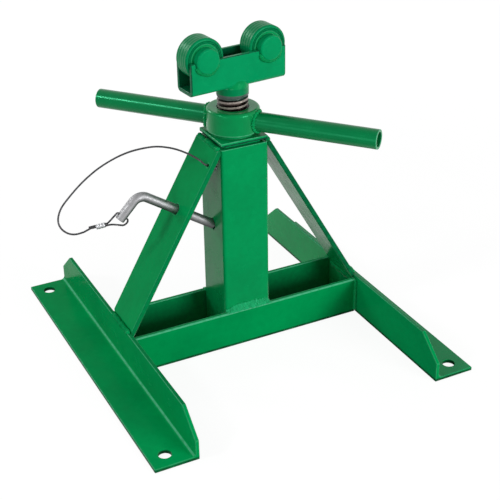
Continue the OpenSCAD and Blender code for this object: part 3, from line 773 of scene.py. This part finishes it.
anchor, lanyard_end = Vector(lanyard_route[0]), Vector(lanyard_route[-1])
eye_end = Vector((-0.17128, 0.005, 0.19422))
ferrule = sleeve("rope_ferrule", lanyard_end, eye_end, "lock_pin", "lanyard_ferrule", 3, crimp)
anchor_in = (anchor - Vector(lanyard_route[1])).normalized()
crimped = sleeve("rope_stop", anchor, anchor + stop_len * anchor_in, "frame", "lanyard_stop", 2, wire)
tail_start = lanyard_end + Vector((0.2, 0.35, 0.9)).normalized() * rope_d * 0.8
tail_dir = (lanyard_end - eye_end).normalized()
tail_line = [tail_start + tail_dir * tail_len * k / 10 for k in range(-2, 11)]
tail = put("rope_tail", rope("rope_tail", tail_line), "lock_pin", wire, "wire_rope")
bm = rope("rope_eye", smooth_route(eye_route, 8))
eye = put("rope_eye", bm, "lock_pin", wire, "wire_rope", "lanyard_eye")
line = smooth_route(lanyard_route, 12)
mesh = mesh_from("rope_lanyard", rope("rope_lanyard", line))
mesh.shade_smooth()
mesh.materials.append(wire)
lanyard = bpy.data.objects.new("rope_lanyard", mesh)
bpy.context.collection.objects.link(lanyard)
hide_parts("lanyard")
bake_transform(lanyard, "frame", "lock_pin", start=tuple(line[12]), end=tuple(line[-1]))

# Studio: a white paper floor under a white sky, with a broad soft light in front on the right, a small one
# high on the left, and two faint fills, low on the left and behind.
floor_size, floor_z = 8, -0.0004
near, far = 0.6, 2.5
shade_kept, floor_glow, sky_light = 0.72, 1.27, 0.28
white_colour = (1, 1, 1, 1)
bm = bmesh.new()
bmesh.ops.create_grid(
    bm, x_segments=1, y_segments=1, size=floor_size, matrix=Matrix.Translation((0, 0, floor_z))
)
floor = bpy.data.objects.new("floor", mesh_from("floor", bm))
bpy.context.collection.objects.link(floor)


def either(tree, first, second):
    return add(tree, "ShaderNodeMath", {0: first, 1: second}, operation="MAXIMUM").outputs[0]


def seen_rays(tree):
    ray = add(tree, "ShaderNodeLightPath").outputs
    return either(tree, either(tree, ray["Is Camera Ray"], ray["Is Glossy Ray"]), ray["Is Transmission Ray"])


paper = bpy.data.materials.new("floor_paper")
paper.use_nodes = True
tree = paper.node_tree
tree.nodes.clear()
away = add(tree, "ShaderNodeVectorMath", {
    0: add(tree, "ShaderNodeTexCoord").outputs["Object"]
}, operation="LENGTH").outputs["Value"]
share = times(tree, seen_rays(tree), spread(tree, away, near, far, shade_kept, 1.0))
flat = add(tree, "ShaderNodeBsdfDiffuse", {"Color": (0.5, 0.5, 0.5, 1)})
glow = add(tree, "ShaderNodeEmission", {
    "Color": white_colour, "Strength": spread(tree, away, near, far, floor_glow, 1.0)
})
blend = add(tree, "ShaderNodeMixShader", {0: share, 1: flat.outputs[0], 2: glow.outputs[0]})
add(tree, "ShaderNodeOutputMaterial", {"Surface": blend.outputs[0]})
floor.data.materials.append(paper)

world = bpy.data.worlds.new("studio")
world.use_nodes = True
tree = world.node_tree
tree.nodes.clear()
dim = add(tree, "ShaderNodeBackground", {"Color": white_colour, "Strength": sky_light})
white = add(tree, "ShaderNodeBackground", {"Color": white_colour, "Strength": 1.0})
blend = add(tree, "ShaderNodeMixShader", {0: seen_rays(tree), 1: dim.outputs[0], 2: white.outputs[0]})
add(tree, "ShaderNodeOutputWorld", {"Surface": blend.outputs[0]})
bpy.context.scene.world = world

for name, spot, aim, size, power in (
    ("front_light", (1.0, -2.3, 0.65), (0, 0, 0.2), 1.05, 46),
    ("left_light", (-1.9, -0.1, 1.5), (0, 0, 0.25), 0.32, 12),
    ("low_light", (-2.2, -1.3, 0.4), (0, 0, 0.15), 1.0, 8),
    ("rear_light", (-1.1, 1.9, 1.3), (0, 0, 0.3), 0.7, 14),
):
    lamp = bpy.data.lights.new(name, "AREA")
    lamp.size, lamp.energy = size, power
    holder = bpy.data.objects.new(name, lamp)
    bpy.context.collection.objects.link(holder)
    holder.location = spot
    holder.rotation_euler = (Vector(aim) - Vector(spot)).to_track_quat("-Z", "Y").to_euler()

# Camera: stands to the left in front of the stand and looks down on it. Its place and lens come from a fit
# to the stand's straight edges.
lens = bpy.data.cameras.new("camera")
lens.lens, lens.sensor_width = 82.561, 36
view = bpy.data.objects.new("camera", lens)
bpy.context.collection.objects.link(view)
view.matrix_world = Matrix((
    (0.89208, 0.226284, -0.391138, -0.56209),
    (-0.45167, 0.420311, -0.786977, -1.17159),
    (-0.013681, 0.878711, 0.477157, 0.82314),
    (0, 0, 0, 1),
))
bpy.context.scene.camera = view
bpy.context.scene.view_settings.view_transform = "Standard"

bpy.context.view_layer.update()
